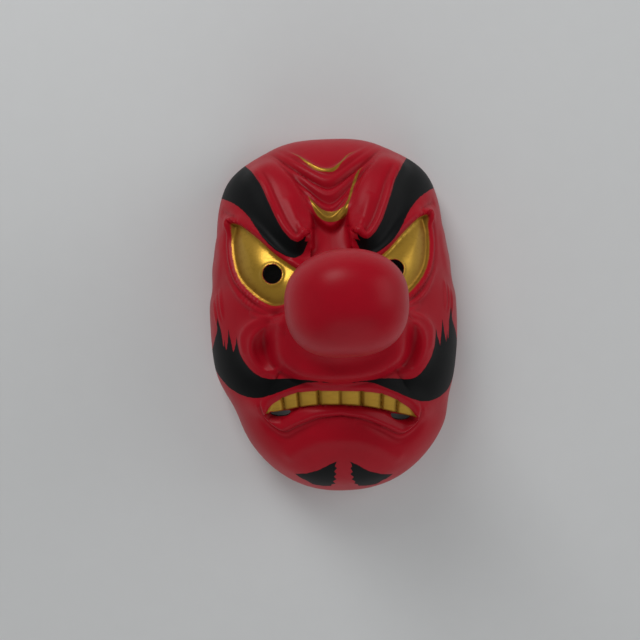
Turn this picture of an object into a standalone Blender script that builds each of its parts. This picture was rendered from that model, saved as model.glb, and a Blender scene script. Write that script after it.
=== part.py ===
"""A tengu mask: one moulded shell, open at the back, lying on its flat rim with the face up.

The frame is in metres. The rim lies on z = 0, the forehead points to +Y, the chin to -Y, and the
mask is the same on both sides of x = 0. The carving is kept as shares of the half width and the
half length, so it follows the mask when the mask is made wider or longer.
"""

import math

import bpy
import numpy as np

for old in list(bpy.data.objects):
    bpy.data.objects.remove(old, do_unlink=True)

# The mask's own sizes
MASK_WIDTH = 0.175
MASK_LENGTH = 0.250
FACE_DEPTH = 0.074
WALL = 0.003

# The nose: a club on a flared root, leaning towards the forehead
NOSE_REACH = 0.190
NOSE_ROOT_Y = 0.007
NOSE_LEAN = math.radians(8.2)
BULB_WIDTH = 0.0635
BULB_HEIGHT = 0.0565
BULB_LENGTH = 0.041
SHAFT_WIDTH = 0.051
SHAFT_HEIGHT = 0.046
SHAFT_TOP = 0.098
FLARE = 0.0085
NOSTRIL_WIDTH = 0.0885
NOSTRIL_HEIGHT = 0.054
NOSTRIL_RISE = 0.015
NOSTRIL_LOW = -0.0372
NOSTRIL_SQUARE = 2.6

# Openings
PUPIL_BORE = 0.012
SLOT_LENGTH = 0.0135
SLOT_HEIGHT = 0.0045
SLOT_TILT = math.radians(12)
TIE_BORE = 0.004
TIE_HEIGHT = 0.012
CUT_DEPTH = 0.05

# Heights of the carving above or below the smooth face
BROW_RISE = 0.0065
LID_RISE = 0.0030
EYE_SINK = 0.0026
EYE_SWELL = 0.0070
CHEEK_RISE = 0.0068
HOLLOW_SINK = 0.0085
LIP_RISE = 0.0040
MOUTH_SINK = 0.0040
TOOTH_SWELL = 0.0020
CHIN_RISE = 0.0060
FROWN_RISE = 0.0014
BRIDGE_SINK = 0.0040
EAR_RISE = 0.0035

# Breadths of the carving: how far a ridge or a groove reaches to each side of its line
BROW_BREADTH = 0.0065
TONGUE_EDGE = 0.0030
CHEEK_BREADTH = 0.0085
HOLLOW_BREADTH = 0.0055
LIP_BREADTH = 0.0080
LID_BREADTH = 0.0045
FOLD_BREADTH = 0.0028
NOSTRIL_EDGE = 0.0022
EAR_EDGE = 0.0018
CARVED_EDGE = 0.0008
INNER_EDGE = 0.0018

# The grid that the shell is first made on, and the triangles that are kept
AROUND = 320
FACE_RINGS = 116
NOSE_RINGS = 50
INNER_EVERY = 2
SOFT_PASSES = 10
KEPT_TRIANGLES = 8600
TRIM = 0.004

HALF_WIDTH = MASK_WIDTH / 2
HALF_LENGTH = MASK_LENGTH / 2

# Carving lines of the right half, as shares of the half width and the half length
FROWN_FOLD = ((0.434, 0.896), (0.325, 0.827), (0.248, 0.762), (0.192, 0.691),
              (0.155, 0.618), (0.139, 0.536), (0.137, 0.470), (0.144, 0.384))
BROW_TOP = ((0.686, 0.904), (0.538, 0.775), (0.479, 0.703), (0.440, 0.634),
            (0.361, 0.507), (0.310, 0.451), (0.251, 0.424), (0.183, 0.444))
EYE_TOP = ((0.729, 0.546), (0.645, 0.513), (0.518, 0.438), (0.408, 0.363),
           (0.309, 0.308), (0.200, 0.248))
EYE_LOW = ((0.729, 0.546), (0.741, 0.416), (0.688, 0.257), (0.554, 0.149),
           (0.411, 0.104), (0.274, 0.140), (0.200, 0.248))
UNDER_EYE = ((0.320, 0.084), (0.394, 0.078), (0.487, 0.082), (0.573, 0.101),
             (0.645, 0.137), (0.702, 0.188), (0.766, 0.272))
CHEEK_RIDGE = ((0.397, 0.026), (0.467, 0.033), (0.547, 0.021), (0.616, -0.009),
               (0.651, -0.064), (0.640, -0.136), (0.571, -0.212), (0.480, -0.256))
CHEEK_OUTER = ((0.503, 0.062), (0.560, 0.058), (0.634, 0.044), (0.691, 0.016),
               (0.726, -0.040), (0.714, -0.112))
HOLLOW = ((0.463, -0.008), (0.520, -0.064), (0.531, -0.128), (0.503, -0.208))
UPPER_LIP = ((0.000, -0.316), (0.220, -0.318), (0.360, -0.340), (0.480, -0.380), (0.610, -0.440))
MOUTH_TOP = ((0.000, -0.344), (0.192, -0.349), (0.288, -0.358), (0.382, -0.381),
             (0.473, -0.416), (0.566, -0.476))
MOUTH_LOW = ((0.000, -0.424), (0.213, -0.436), (0.320, -0.460), (0.411, -0.496),
             (0.491, -0.520), (0.566, -0.476))
LIP_EDGE = ((0.000, -0.465), (0.139, -0.480), (0.274, -0.517), (0.413, -0.562),
            (0.537, -0.532), (0.600, -0.464), (0.589, -0.400))
LIP_FOLD = ((0.103, -0.504), (0.177, -0.517), (0.321, -0.578), (0.441, -0.627),
            (0.549, -0.592), (0.629, -0.512))
FROWN_FOLDS = ((0.780, 0.028, 0.9), (0.728, 0.024, 0.5), (0.688, 0.022, -1.2), (0.656, 0.024, 0.8),
               (0.614, 0.024, -1.2), (0.572, 0.024, 1.6), (0.500, 0.016, 1.0))
BRIDGE_TOP = 0.485
BRIDGE_FOOT = 0.30
PUPIL = (0.428, 0.271)
SLOT = (0.460, -0.488)
CHIN = (0.0, -0.720)
CHIN_SPREAD = (0.42, 0.21)
EYE_BALL = (0.500, 0.300)
EYE_BALL_SPREAD = (0.26, 0.22)
EAR_SPAN = (0.18, 0.47)
TEMPLE_DIP = 0.055
TEMPLE = 0.45
EAR_LEVEL = 0.026
EAR_THICK = 0.011
OUTLINE_TOP = 2.8
OUTLINE_LOW = 2.25
TEETH = 10
CARVED_SHARE = 0.90
FADE = 0.035
FROWN_TOP = 0.88
EAR_SIDE = 0.80
DOME_FLAT = 2.7
DOME_STEEP = 0.45


def smooth_line(points, steps=10):
    """A smooth open line through points that are given in shares."""
    p = np.array(points) * (HALF_WIDTH, HALF_LENGTH)
    p = np.vstack([2 * p[0] - p[1], p, 2 * p[-1] - p[-2]])
    t = np.linspace(0, 1, steps, endpoint=False)[:, None]
    spans = []
    for a, b, c, d in zip(p, p[1:], p[2:], p[3:]):
        bend = (2 * a - 5 * b + 4 * c - d) * t ** 2 + (3 * b - a - 3 * c + d) * t ** 3
        spans.append(0.5 * (2 * b + (c - a) * t + bend))
    return np.vstack(spans + [p[-2:-1]])


def from_line(x, y, line):
    """Distance to a line, positive on its left side, and the share of the way along it."""
    best = np.full(x.shape, np.inf)
    side = np.ones(x.shape)
    along = np.zeros(x.shape)
    count = len(line) - 1
    for i, (a, b) in enumerate(zip(line, line[1:])):
        dx, dy = b - a
        t = np.clip(((x - a[0]) * dx + (y - a[1]) * dy) / (dx * dx + dy * dy), 0, 1)
        far = np.hypot(x - a[0] - t * dx, y - a[1] - t * dy)
        nearer = far < best
        turn = dx * (y - a[1]) - dy * (x - a[0])
        best = np.where(nearer, far, best)
        side = np.where(nearer, np.where(turn >= 0, 1.0, -1.0), side)
        along = np.where(nearer, (i + t) / count, along)
    return best * side, along


def within(x, y, outline):
    """Distance to a closed outline, positive inside it."""
    far = np.abs(from_line(x, y, np.vstack([outline, outline[:1]]))[0])
    crossings = np.zeros(x.shape, dtype=int)
    for a, b in zip(outline, np.roll(outline, -1, axis=0)):
        spans = (a[1] > y) != (b[1] > y)
        step = np.where(spans, b[1] - a[1], 1.0)
        crossings += spans & (x < a[0] + (y - a[1]) * (b[0] - a[0]) / step)
    return np.where(crossings % 2 == 1, far, -far)


def mound(distance, width):
    """A rounded ridge over a line: 1 on the line, and nearly 0 at twice the width."""
    return np.exp(-(distance / width) ** 2)


def rise(distance, width):
    """A soft step: 0 well before the line, 1 well after it."""
    return 0.5 + 0.5 * np.tanh(distance / width)


def boss(x, y, middle, spread):
    """Distance from the middle of an oval, in spreads; all three are shares."""
    return np.hypot((x / HALF_WIDTH - middle[0]) / spread[0], (y / HALF_LENGTH - middle[1]) / spread[1])


def outline_share(x, y):
    """0 in the middle of the face and 1 on its outline, a soft rounded oblong."""
    v = y / HALF_LENGTH
    u = np.abs(x) / HALF_WIDTH / (1 - TEMPLE_DIP * mound(v - TEMPLE, 0.17))
    power = OUTLINE_LOW + (OUTLINE_TOP - OUTLINE_LOW) * rise(v, 0.25)
    return (u ** power + np.abs(v) ** power) ** (1 / power)


def rim_point(angle):
    """Where a ray from the middle of the face meets the outline."""
    c, s = np.cos(angle), np.sin(angle)
    reach = np.ones(angle.shape)
    for _ in range(30):
        reach = reach / outline_share(reach * c * HALF_WIDTH, reach * s * HALF_LENGTH)
    return reach * c * HALF_WIDTH, reach * s * HALF_LENGTH


def face_height(x, y):
    """The smooth face without carving: a deep dome that ends in upright side walls."""
    share = np.clip(outline_share(x, y), 0, 1)
    return FACE_DEPTH * (1 - share ** DOME_FLAT) ** DOME_STEEP


def frown_level(x, y):
    """Which of the nested frown folds a point is on, as its height in the middle of the forehead."""
    level = y.copy()
    for _ in range(5):
        slope = 0.80 + 1.0 * rise(0.60 * HALF_LENGTH - level, 0.08 * HALF_LENGTH)
        bend = 0.06 * HALF_WIDTH
        level = y - slope * (np.sqrt(x ** 2 + bend ** 2) - bend)
    return level / HALF_LENGTH


def broad_relief(x, y):
    """The large forms, which both skins of the shell follow."""
    x = np.abs(x)
    inland = rise(CARVED_SHARE - outline_share(x, y), FADE)
    fold, _ = from_line(x, y, smooth_line(FROWN_FOLD))
    crest, _ = from_line(x, y, smooth_line(BROW_TOP))
    crest = -crest
    tongue = rise(fold, TONGUE_EDGE) * rise(crest, TONGUE_EDGE)
    across = np.clip(fold / (np.abs(fold) + np.abs(crest) + 1e-6), 0, 1)
    relief = BROW_RISE * tongue * (0.45 + 0.55 * np.sin(math.pi * across)) * inland
    relief += BROW_RISE * mound(crest, BROW_BREADTH) * inland
    relief += EYE_SWELL * mound(boss(x, y, EYE_BALL, EYE_BALL_SPREAD), 1)
    ridge, _ = from_line(x, y, smooth_line(CHEEK_RIDGE))
    relief += CHEEK_RISE * mound(ridge, CHEEK_BREADTH)
    hollow, _ = from_line(x, y, smooth_line(HOLLOW))
    relief -= HOLLOW_SINK * mound(hollow, HOLLOW_BREADTH)
    lip, _ = from_line(x, y, smooth_line(UPPER_LIP))
    relief += LIP_RISE * mound(lip, LIP_BREADTH)
    relief += CHIN_RISE * mound(boss(x, y, CHIN, CHIN_SPREAD), 1) * inland
    return relief + nostril_relief(x, y)


def nostril_relief(x, y):
    """The wide rounded foot of the nose, with the two wings."""
    middle = NOSTRIL_LOW + NOSTRIL_HEIGHT / 2
    u, v = np.abs(x / (NOSTRIL_WIDTH / 2)), np.abs((y - middle) / (NOSTRIL_HEIGHT / 2))
    share = (u ** NOSTRIL_SQUARE + v ** NOSTRIL_SQUARE) ** (1 / NOSTRIL_SQUARE)
    edge = (1 - share) * NOSTRIL_HEIGHT / 2
    return NOSTRIL_RISE * rise(edge - NOSTRIL_EDGE, NOSTRIL_EDGE)


def eye_depth(x, y):
    """Distance inside the edge of the eye."""
    eye = np.vstack([smooth_line(EYE_TOP), smooth_line(EYE_LOW)[::-1][1:-1]])
    return within(np.abs(x), y, eye)


def mouth_depth(x, y):
    """Distance inside the edge of the mouth's sunk band."""
    mouth = np.vstack([smooth_line(MOUTH_TOP), smooth_line(MOUTH_LOW)[::-1][1:]])
    mouth = np.vstack([mouth, mouth[::-1][1:-1] * (-1, 1)])
    return within(x, y, mouth)


def bridge_depth(x, y):
    """Distance to the frown fold, and 1 on the flat bridge under the frown, 0 off it."""
    fold, _ = from_line(np.abs(x), y, smooth_line(FROWN_FOLD))
    under_frown = rise(BRIDGE_TOP - frown_level(np.abs(x), y), 0.012)
    return fold, under_frown * rise(y / HALF_LENGTH - BRIDGE_FOOT, FADE)


def inner_relief(x, y):
    """How the inner skin steps back behind the eyes, the mouth and the bridge, to keep the wall."""
    fold, bridge = bridge_depth(x, y)
    relief = -EYE_SINK * rise(eye_depth(x, y) + WALL / 2, INNER_EDGE)
    relief -= MOUTH_SINK * rise(mouth_depth(x, y) + 0.8 * WALL, INNER_EDGE)
    return relief - BRIDGE_SINK * bridge * rise(-fold + WALL / 2, INNER_EDGE)


def fine_relief(x, y):
    """The sharper carving, cut into the outer surface alone."""
    eye_in = eye_depth(x, y)
    x = np.abs(x)
    top, _ = from_line(x, y, smooth_line(EYE_TOP))
    low, _ = from_line(x, y, smooth_line(EYE_LOW))
    outside = rise(-eye_in, CARVED_EDGE)
    relief = -EYE_SINK * rise(eye_in, CARVED_EDGE) * (0.45 + 0.55 * mound(eye_in, 2 * LID_BREADTH))
    relief += LID_RISE * outside * mound(np.abs(top) - LID_BREADTH / 2, LID_BREADTH)
    relief += 0.3 * LID_RISE * outside * mound(np.abs(low) - LID_BREADTH / 2, FOLD_BREADTH)
    for line in (UNDER_EYE, CHEEK_OUTER):
        relief += FROWN_RISE * mound(from_line(x, y, smooth_line(line))[0], FOLD_BREADTH)
    return relief + frown_relief(x, y) + mouth_relief(x, y)


def frown_relief(x, y):
    """The nested frown folds between the brows, and the flat bridge under them."""
    fold, bridge = bridge_depth(x, y)
    between = rise(-fold, CARVED_EDGE)
    level = frown_level(x, y)
    relief = sum(FROWN_RISE * height * mound(level - place, width) for place, width, height in FROWN_FOLDS)
    relief *= rise(FROWN_TOP - y / HALF_LENGTH, FADE)
    relief = between * (relief - BRIDGE_SINK * bridge)
    v = y / HALF_LENGTH
    ridge = 1.2 * rise(0.60 - v, 0.05)
    groove = rise(v - 0.60, 0.05) * rise(0.80 - v, 0.05)
    return relief + FROWN_RISE * (ridge - groove) * mound(fold, FOLD_BREADTH)


def mouth_relief(x, y):
    """The drawn-down mouth: the sunk band with its teeth, the lower lip and the fold under it."""
    inside = mouth_depth(x, y)
    edge, _ = from_line(x, y, smooth_line(LIP_EDGE))
    _, along = from_line(x, y, smooth_line(MOUTH_TOP))
    tooth = np.abs(np.cos(math.pi * TEETH / 2 * along))
    relief = rise(inside, CARVED_EDGE) * (TOOTH_SWELL * np.sqrt(tooth) - MOUTH_SINK)
    lower = mound(edge - FOLD_BREADTH, FOLD_BREADTH) * rise(-inside, CARVED_EDGE)
    relief += 0.6 * LIP_RISE * lower * rise(-0.42 - y / HALF_LENGTH, 0.02)
    fold, _ = from_line(x, y, smooth_line(LIP_FOLD))
    return relief - FROWN_RISE * mound(fold + FOLD_BREADTH / 2, FOLD_BREADTH)


def ear_relief(x, y, z):
    """The low ears, moulded on the upright side walls."""
    low, high = EAR_SPAN
    along = (y / HALF_LENGTH - (low + high) / 2) / ((high - low) / 2)
    share = np.hypot(along, (z - EAR_LEVEL) / (1.6 * EAR_THICK))
    at_side = rise(np.abs(x) - EAR_SIDE * HALF_WIDTH, EAR_EDGE)
    return EAR_RISE * rise((1 - share) * EAR_THICK, EAR_EDGE) * at_side


def shaft_ring(angle):
    """The ring of the nose's shaft where it meets the face, seen along Z."""
    return SHAFT_WIDTH / 2 * np.cos(angle), NOSE_ROOT_Y + SHAFT_HEIGHT / 2 * np.sin(angle)


def lean(points):
    """Leans what stands above the face towards the forehead."""
    above = np.maximum(points[..., 2] - 1.06 * FACE_DEPTH, 0)
    points[..., 1] += above * math.tan(NOSE_LEAN)
    return points


def face_grid(rings, around, outside):
    """Points of the face, ring by ring, from the shaft out to the rim."""
    angle = np.linspace(0, 2 * math.pi, around, endpoint=False)
    start, end = shaft_ring(angle), rim_point(angle)
    step = 1 - (1 - np.linspace(0, 1, rings + 1)) ** 1.9
    step[-1] = 1
    x = start[0] + (end[0] - start[0]) * step[:, None]
    y = start[1] + (end[1] - start[1]) * step[:, None]
    z = face_height(x, y)
    z[-1] = 0
    points = np.stack([x, y, z], -1)
    relief = broad_relief(x, y) + ear_relief(x, y, z)
    relief += fine_relief(x, y) if outside else inner_relief(x, y)
    edge = np.clip(z / 0.010, 0, 1)
    points += outward(points) * (relief * edge)[..., None]
    share = np.hypot(x / (SHAFT_WIDTH / 2), (y - NOSE_ROOT_Y) / (SHAFT_HEIGHT / 2))
    off = np.maximum(share - 1, 0) * SHAFT_WIDTH / 2
    climb = np.exp(-(off / FLARE) ** 0.8)
    points[..., 2] += (SHAFT_TOP - points[..., 2]) * climb
    return points


def nose_grid(rings, around):
    """Points of the nose, ring by ring, from just under its tip down to the shaft's foot."""
    angle = np.linspace(0, 2 * math.pi, around, endpoint=False)
    widest = NOSE_REACH - BULB_LENGTH
    t = np.linspace(0, 1, rings + 1)[1:, None]
    turn = np.clip(t / 0.6, 0, 1) * math.pi / 2
    z = np.where(t < 0.6, widest + BULB_LENGTH * np.cos(turn) ** 0.86,
                 widest + (SHAFT_TOP - widest) * (t - 0.6) / 0.4)
    share = np.sin(turn) ** 0.86
    swell = np.where(t < 0.6, 1.0, 0.5 + 0.5 * np.cos(math.pi * (t - 0.6) / 0.4))
    half_x = share * (SHAFT_WIDTH + (BULB_WIDTH - SHAFT_WIDTH) * swell) / 2
    half_y = share * (SHAFT_HEIGHT + (BULB_HEIGHT - SHAFT_HEIGHT) * swell) / 2
    power = 2 + 0.5 * swell
    c, s = np.cos(angle), np.sin(angle)
    reach = (np.abs(c) ** power + np.abs(s) ** power) ** (-1 / power)
    return np.stack([half_x * reach * c, NOSE_ROOT_Y + half_y * reach * s, z + 0 * c], -1)


def outward(points):
    """Outward unit normals of a grid of rings, from its own neighbours."""
    turn = np.roll(points, -1, axis=1) - np.roll(points, 1, axis=1)
    down = np.gradient(points, axis=0)
    normal = np.cross(down, turn)
    return normal / np.linalg.norm(normal, axis=-1, keepdims=True)


def softened(points, passes):
    """Evens out a grid of rings, except its first and its last ring."""
    points = points.copy()
    for _ in range(passes):
        beside = np.roll(points, 1, axis=1) + np.roll(points, -1, axis=1)
        points[1:-1] = (points[:-2] + points[2:] + beside[1:-1] + 2 * points[1:-1]) / 6
    return points


def shell_points():
    """The outer and the inner skin, each from the nose's tip to below the rim."""
    nose = nose_grid(NOSE_RINGS, AROUND)
    outer = lean(np.vstack([nose[:-1], face_grid(FACE_RINGS, AROUND, True)]))
    broad = softened(lean(np.vstack([nose[:-1], face_grid(FACE_RINGS, AROUND, False)])), SOFT_PASSES)
    inner = (broad - WALL * outward(broad))[::INNER_EVERY]
    return outer, inner


def skin(outer, inner):
    """One closed mesh: both skins, their poles and the edge between them below the rim."""
    around = outer.shape[1]
    below = outer[-1:] * (1, 1, 0) - (0, 0, TRIM)
    within_rim = inner[-1:] * (1, 1, 0) - (0, 0, TRIM)
    rings = np.vstack([outer, below, within_rim, inner[::-1]])
    tip = outer[:1].mean(axis=1) + (0, 0, 0.0004)
    inner_tip = inner[:1].mean(axis=1) + (0, 0, 0.0002)
    points = np.vstack([rings.reshape(-1, 3), tip, inner_tip])
    faces = []
    for r in range(len(rings) - 1):
        for j in range(around):
            k = (j + 1) % around
            faces.append((r * around + j, (r + 1) * around + j, (r + 1) * around + k, r * around + k))
    pole, inner_pole, last = len(points) - 2, len(points) - 1, (len(rings) - 1) * around
    for j in range(around):
        k = (j + 1) % around
        faces.append((pole, j, k))
        faces.append((inner_pole, last + k, last + j))
    mesh = bpy.data.meshes.new("mask")
    mesh.from_pydata(points.tolist(), [], faces)
    mesh.update()
    return mesh


def paint(name, colour, roughness, metallic):
    """A plain finish."""
    material = bpy.data.materials.new(name)
    material.use_nodes = True
    shader = material.node_tree.nodes["Principled BSDF"]
    shader.inputs["Base Color"].default_value = (*colour, 1)
    shader.inputs["Roughness"].default_value = roughness
    shader.inputs["Metallic"].default_value = metallic
    return material


def as_cutter(name):
    """Makes the new primitive a cutter, hidden from renders."""
    cutter = bpy.context.active_object
    cutter.name = name
    cutter.display_type = 'WIRE'
    cutter.hide_render = True
    return cutter


def add_cut(piece, cutter):
    cut = piece.modifiers.new(cutter.name, 'BOOLEAN')
    cut.operation = 'DIFFERENCE'
    cut.solver = 'EXACT'
    cut.object = cutter


def floor_block():
    """The block that cuts the rim flat."""
    bpy.ops.mesh.primitive_cube_add(size=1, location=(0, 0, -TRIM))
    block = as_cutter("cut_floor")
    block.scale = (2 * MASK_WIDTH, 2 * MASK_LENGTH, 2 * TRIM)
    return block


def pupil_bore(side):
    x, y = side * PUPIL[0] * HALF_WIDTH, PUPIL[1] * HALF_LENGTH
    bpy.ops.mesh.primitive_cylinder_add(
        vertices=24, radius=PUPIL_BORE / 2, depth=CUT_DEPTH, location=(x, y, FACE_DEPTH - 3 * WALL))
    return as_cutter(f"cut_pupil_{side}")


def mouth_slot(side):
    """A lens-shaped slot under the last teeth."""
    x, y = side * SLOT[0] * HALF_WIDTH, SLOT[1] * HALF_LENGTH
    bpy.ops.mesh.primitive_cylinder_add(
        vertices=20, radius=0.5, depth=CUT_DEPTH, location=(x, y, FACE_DEPTH - 6 * WALL))
    slot = as_cutter(f"cut_slot_{side}")
    slot.scale = (SLOT_LENGTH, SLOT_HEIGHT, 1)
    slot.rotation_euler = (0, 0, -side * SLOT_TILT)
    return slot


def tie_bore(side):
    """A small round hole for a tie, in the side wall behind the ear."""
    y = (EAR_SPAN[0] + EAR_SPAN[1]) / 2 * HALF_LENGTH
    bpy.ops.mesh.primitive_cylinder_add(
        vertices=12, radius=TIE_BORE / 2, depth=CUT_DEPTH,
        location=(side * HALF_WIDTH, y, TIE_HEIGHT), rotation=(0, math.pi / 2, 0))
    return as_cutter(f"cut_tie_{side}")


def build_mask():
    outer, inner = shell_points()
    mask = bpy.data.objects.new("mask", skin(outer, inner))
    bpy.context.scene.collection.objects.link(mask)
    mask.data.materials.append(paint("red_paint", (0.42, 0.012, 0.020), 0.42, 0.0))
    thin = mask.modifiers.new("fewer_faces", 'DECIMATE')
    triangles = sum(len(face.vertices) - 2 for face in mask.data.polygons)
    thin.ratio = KEPT_TRIANGLES / triangles
    thin.use_symmetry = True
    thin.symmetry_axis = 'X'
    add_cut(mask, floor_block())
    for make_cutter in (pupil_bore, mouth_slot, tie_bore):
        for side in (1, -1):
            add_cut(mask, make_cutter(side))
    mask.data.shade_smooth()
    return mask


build_mask()
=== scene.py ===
"""A painted tengu mask, lying on its rim on a pale floor, in soft studio light.

The frame is in metres: the rim lies on z = 0, the forehead points to +Y and the chin to -Y. The
carving lines are kept as shares of the mask's half width and half length, for the right half.
"""

import math

import bpy
import numpy as np
from mathutils import Matrix, Vector


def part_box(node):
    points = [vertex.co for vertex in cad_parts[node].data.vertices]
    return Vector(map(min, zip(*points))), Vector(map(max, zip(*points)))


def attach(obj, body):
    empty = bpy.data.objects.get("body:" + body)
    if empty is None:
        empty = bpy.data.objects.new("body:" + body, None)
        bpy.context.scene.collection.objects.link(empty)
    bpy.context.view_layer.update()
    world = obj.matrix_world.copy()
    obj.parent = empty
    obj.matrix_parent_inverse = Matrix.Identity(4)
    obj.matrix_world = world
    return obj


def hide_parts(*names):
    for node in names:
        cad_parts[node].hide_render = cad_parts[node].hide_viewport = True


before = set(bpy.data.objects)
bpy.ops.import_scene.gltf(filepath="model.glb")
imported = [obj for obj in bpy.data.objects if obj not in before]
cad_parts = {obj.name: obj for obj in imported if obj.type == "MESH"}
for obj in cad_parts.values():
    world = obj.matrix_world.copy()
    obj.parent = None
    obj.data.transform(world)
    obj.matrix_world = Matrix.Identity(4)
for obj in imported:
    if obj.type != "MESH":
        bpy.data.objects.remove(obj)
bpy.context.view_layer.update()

bl_info = {
    "name": "Tengu Mask",
    "version": (1, 0, 0),
    "blender": (4, 5, 0),
    "location": "View3D > Sidebar > Tengu Mask",
    "description": "Moulds, cuts and paints a long-nosed tengu mask, and sets its stage",
    "category": "Add Mesh",
}

CAD_LOW, CAD_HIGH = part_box("mask")

# The grid of the shell: columns round the nose, and rings from the nose's tip over the rim to the
# inside. The inner skin keeps a few of the outer skin's rings, closer together in the bend at the
# shaft's foot, after some passes of smoothing.
AROUND = 440
NOSE_RINGS = 32
FACE_RINGS = 158
INNER_SPANS = ((0, NOSE_RINGS - 3, 5), (NOSE_RINGS - 3, NOSE_RINGS + 17, 11),
               (NOSE_RINGS + 17, NOSE_RINGS + FACE_RINGS - 1, 14))
INNER_PASSES = 10

# How much closer the columns stand over the brow and the mouth, and the rings' mean way out to the rim
COLUMN_CROWDING = 0.10
MEAN_WAY_OUT = 0.080

# What the shell's fields hold far outside a painted place, in metres
FIELD_ZERO = 0.01

# Carving lines, as shares of the half width and the half length
FROWN_FOLD = ((0.434, 0.896), (0.325, 0.827), (0.248, 0.762), (0.192, 0.691),
              (0.155, 0.618), (0.139, 0.536), (0.137, 0.470), (0.144, 0.384))
TONGUE_RIDGE = ((0.300, 0.640), (0.245, 0.540), (0.205, 0.470), (0.175, 0.400))
BROW_TOP = ((0.686, 0.904), (0.545, 0.782), (0.474, 0.703), (0.430, 0.625), (0.360, 0.509),
            (0.307, 0.447), (0.264, 0.416), (0.227, 0.412), (0.182, 0.438))
BROW_LOW = ((1.060, 0.745), (0.914, 0.716), (0.699, 0.633), (0.585, 0.556), (0.505, 0.475),
            (0.430, 0.402), (0.345, 0.355), (0.268, 0.336), (0.208, 0.352), (0.180, 0.386))
BROW_HOOK = ((0.227, 0.412), (0.203, 0.422), (0.182, 0.440), (0.186, 0.422), (0.197, 0.404),
             (0.178, 0.411), (0.161, 0.419), (0.172, 0.402), (0.180, 0.386))
EYE_TOP = ((0.716, 0.532), (0.640, 0.508), (0.518, 0.438), (0.408, 0.363),
           (0.309, 0.308), (0.200, 0.248))
EYE_LOW = ((0.716, 0.532), (0.735, 0.410), (0.688, 0.257), (0.554, 0.149),
           (0.411, 0.104), (0.274, 0.140), (0.200, 0.248))
LID_FOLD = ((0.800, 0.600), (0.690, 0.560), (0.585, 0.500), (0.490, 0.432), (0.400, 0.372),
            (0.300, 0.330))
UNDER_EYE = ((0.320, 0.084), (0.394, 0.078), (0.487, 0.082), (0.573, 0.101),
             (0.645, 0.137), (0.702, 0.188), (0.766, 0.272))
UNDER_EYE_LOW = ((0.330, 0.050), (0.420, 0.044), (0.520, 0.052), (0.610, 0.078))
CHEEK_RIDGE = ((0.360, 0.010), (0.450, 0.014), (0.515, 0.001), (0.580, -0.029),
               (0.614, -0.080), (0.610, -0.144), (0.556, -0.212), (0.440, -0.264))
CHEEK_OUTER = ((0.440, 0.038), (0.525, 0.034), (0.594, 0.016), (0.650, -0.012),
               (0.686, -0.064), (0.680, -0.150))
HOLLOW = ((0.400, 0.000), (0.492, -0.070), (0.520, -0.138), (0.487, -0.225))
UPPER_LIP = ((0.000, -0.308), (0.220, -0.311), (0.360, -0.334), (0.480, -0.374), (0.600, -0.440))
MOUTH_TOP = ((0.000, -0.333), (0.168, -0.336), (0.295, -0.348), (0.382, -0.371),
             (0.461, -0.407), (0.515, -0.440), (0.556, -0.484))
MOUTH_LOW = ((0.000, -0.421), (0.170, -0.428), (0.306, -0.450), (0.390, -0.484),
             (0.455, -0.510), (0.520, -0.508), (0.556, -0.484))
TEETH_LOW = ((0.000, -0.414), (0.170, -0.420), (0.306, -0.438), (0.430, -0.464), (0.548, -0.492))
TOOTH_GAPS = (-0.010, 0.155, 0.300, 0.412, 0.560)
LIP_EDGE = ((0.000, -0.461), (0.169, -0.481), (0.319, -0.528), (0.438, -0.568),
            (0.545, -0.522), (0.580, -0.462), (0.574, -0.405))
LIP_FOLD = ((0.100, -0.496), (0.175, -0.508), (0.312, -0.560), (0.425, -0.608),
            (0.535, -0.572), (0.606, -0.500))
MOUSTACHE_TOP = ((0.046, -0.290), (0.121, -0.282), (0.313, -0.271), (0.506, -0.278),
                 (0.597, -0.254), (0.663, -0.204), (0.707, -0.144), (0.731, -0.046))
MOUSTACHE_HAIRS = ((0.731, -0.046), (0.738, -0.085), (0.766, -0.140), (0.775, -0.100), (0.795, -0.011),
                   (0.808, -0.080), (0.826, -0.135), (0.836, -0.070), (0.846, -0.120), (0.862, -0.020),
                   (0.884, 0.042))
MOUSTACHE_LOW = ((0.046, -0.290), (0.171, -0.286), (0.277, -0.300), (0.481, -0.363), (0.593, -0.394),
                 (0.713, -0.399), (0.823, -0.373), (0.895, -0.330), (0.960, -0.290), (1.010, -0.300),
                 (1.010, -0.190), (0.960, -0.130), (0.925, -0.070), (0.900, -0.030), (0.884, 0.042))
TUFT = ((0.047, -0.716), (0.103, -0.739), (0.190, -0.782), (0.290, -0.815), (0.378, -0.832),
        (0.325, -0.868), (0.300, -0.874), (0.250, -0.908), (0.165, -0.914), (0.105, -0.906),
        (0.100, -0.886), (0.070, -0.878), (0.086, -0.858), (0.056, -0.840), (0.076, -0.820),
        (0.050, -0.800), (0.070, -0.784), (0.048, -0.760), (0.066, -0.748))
CHIN_CREST = ((0.000, -0.590), (0.140, -0.600), (0.280, -0.640), (0.400, -0.700))
FLAME_FOLDS = (((0.846, 0.190), (0.838, 0.110), (0.832, 0.040)),
               ((0.880, 0.170), (0.866, 0.090), (0.858, 0.020)),
               ((0.914, 0.140), (0.900, 0.070), (0.894, 0.000)))
GOLD_WAVE = ((-0.272, 0.896), (-0.207, 0.862), (-0.151, 0.824), (-0.081, 0.785), (-0.009, 0.770),
             (0.050, 0.775), (0.104, 0.811), (0.165, 0.861), (0.245, 0.888))
GOLD_CRESCENT = ((-0.150, 0.650), (-0.116, 0.596), (-0.062, 0.548), (0.004, 0.529), (0.072, 0.541),
                 (0.124, 0.576), (0.146, 0.640))
GOLD_RUN = ((0.112, 0.556), (0.140, 0.600), (0.162, 0.664), (0.188, 0.715), (0.236, 0.775),
            (0.285, 0.812))

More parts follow.
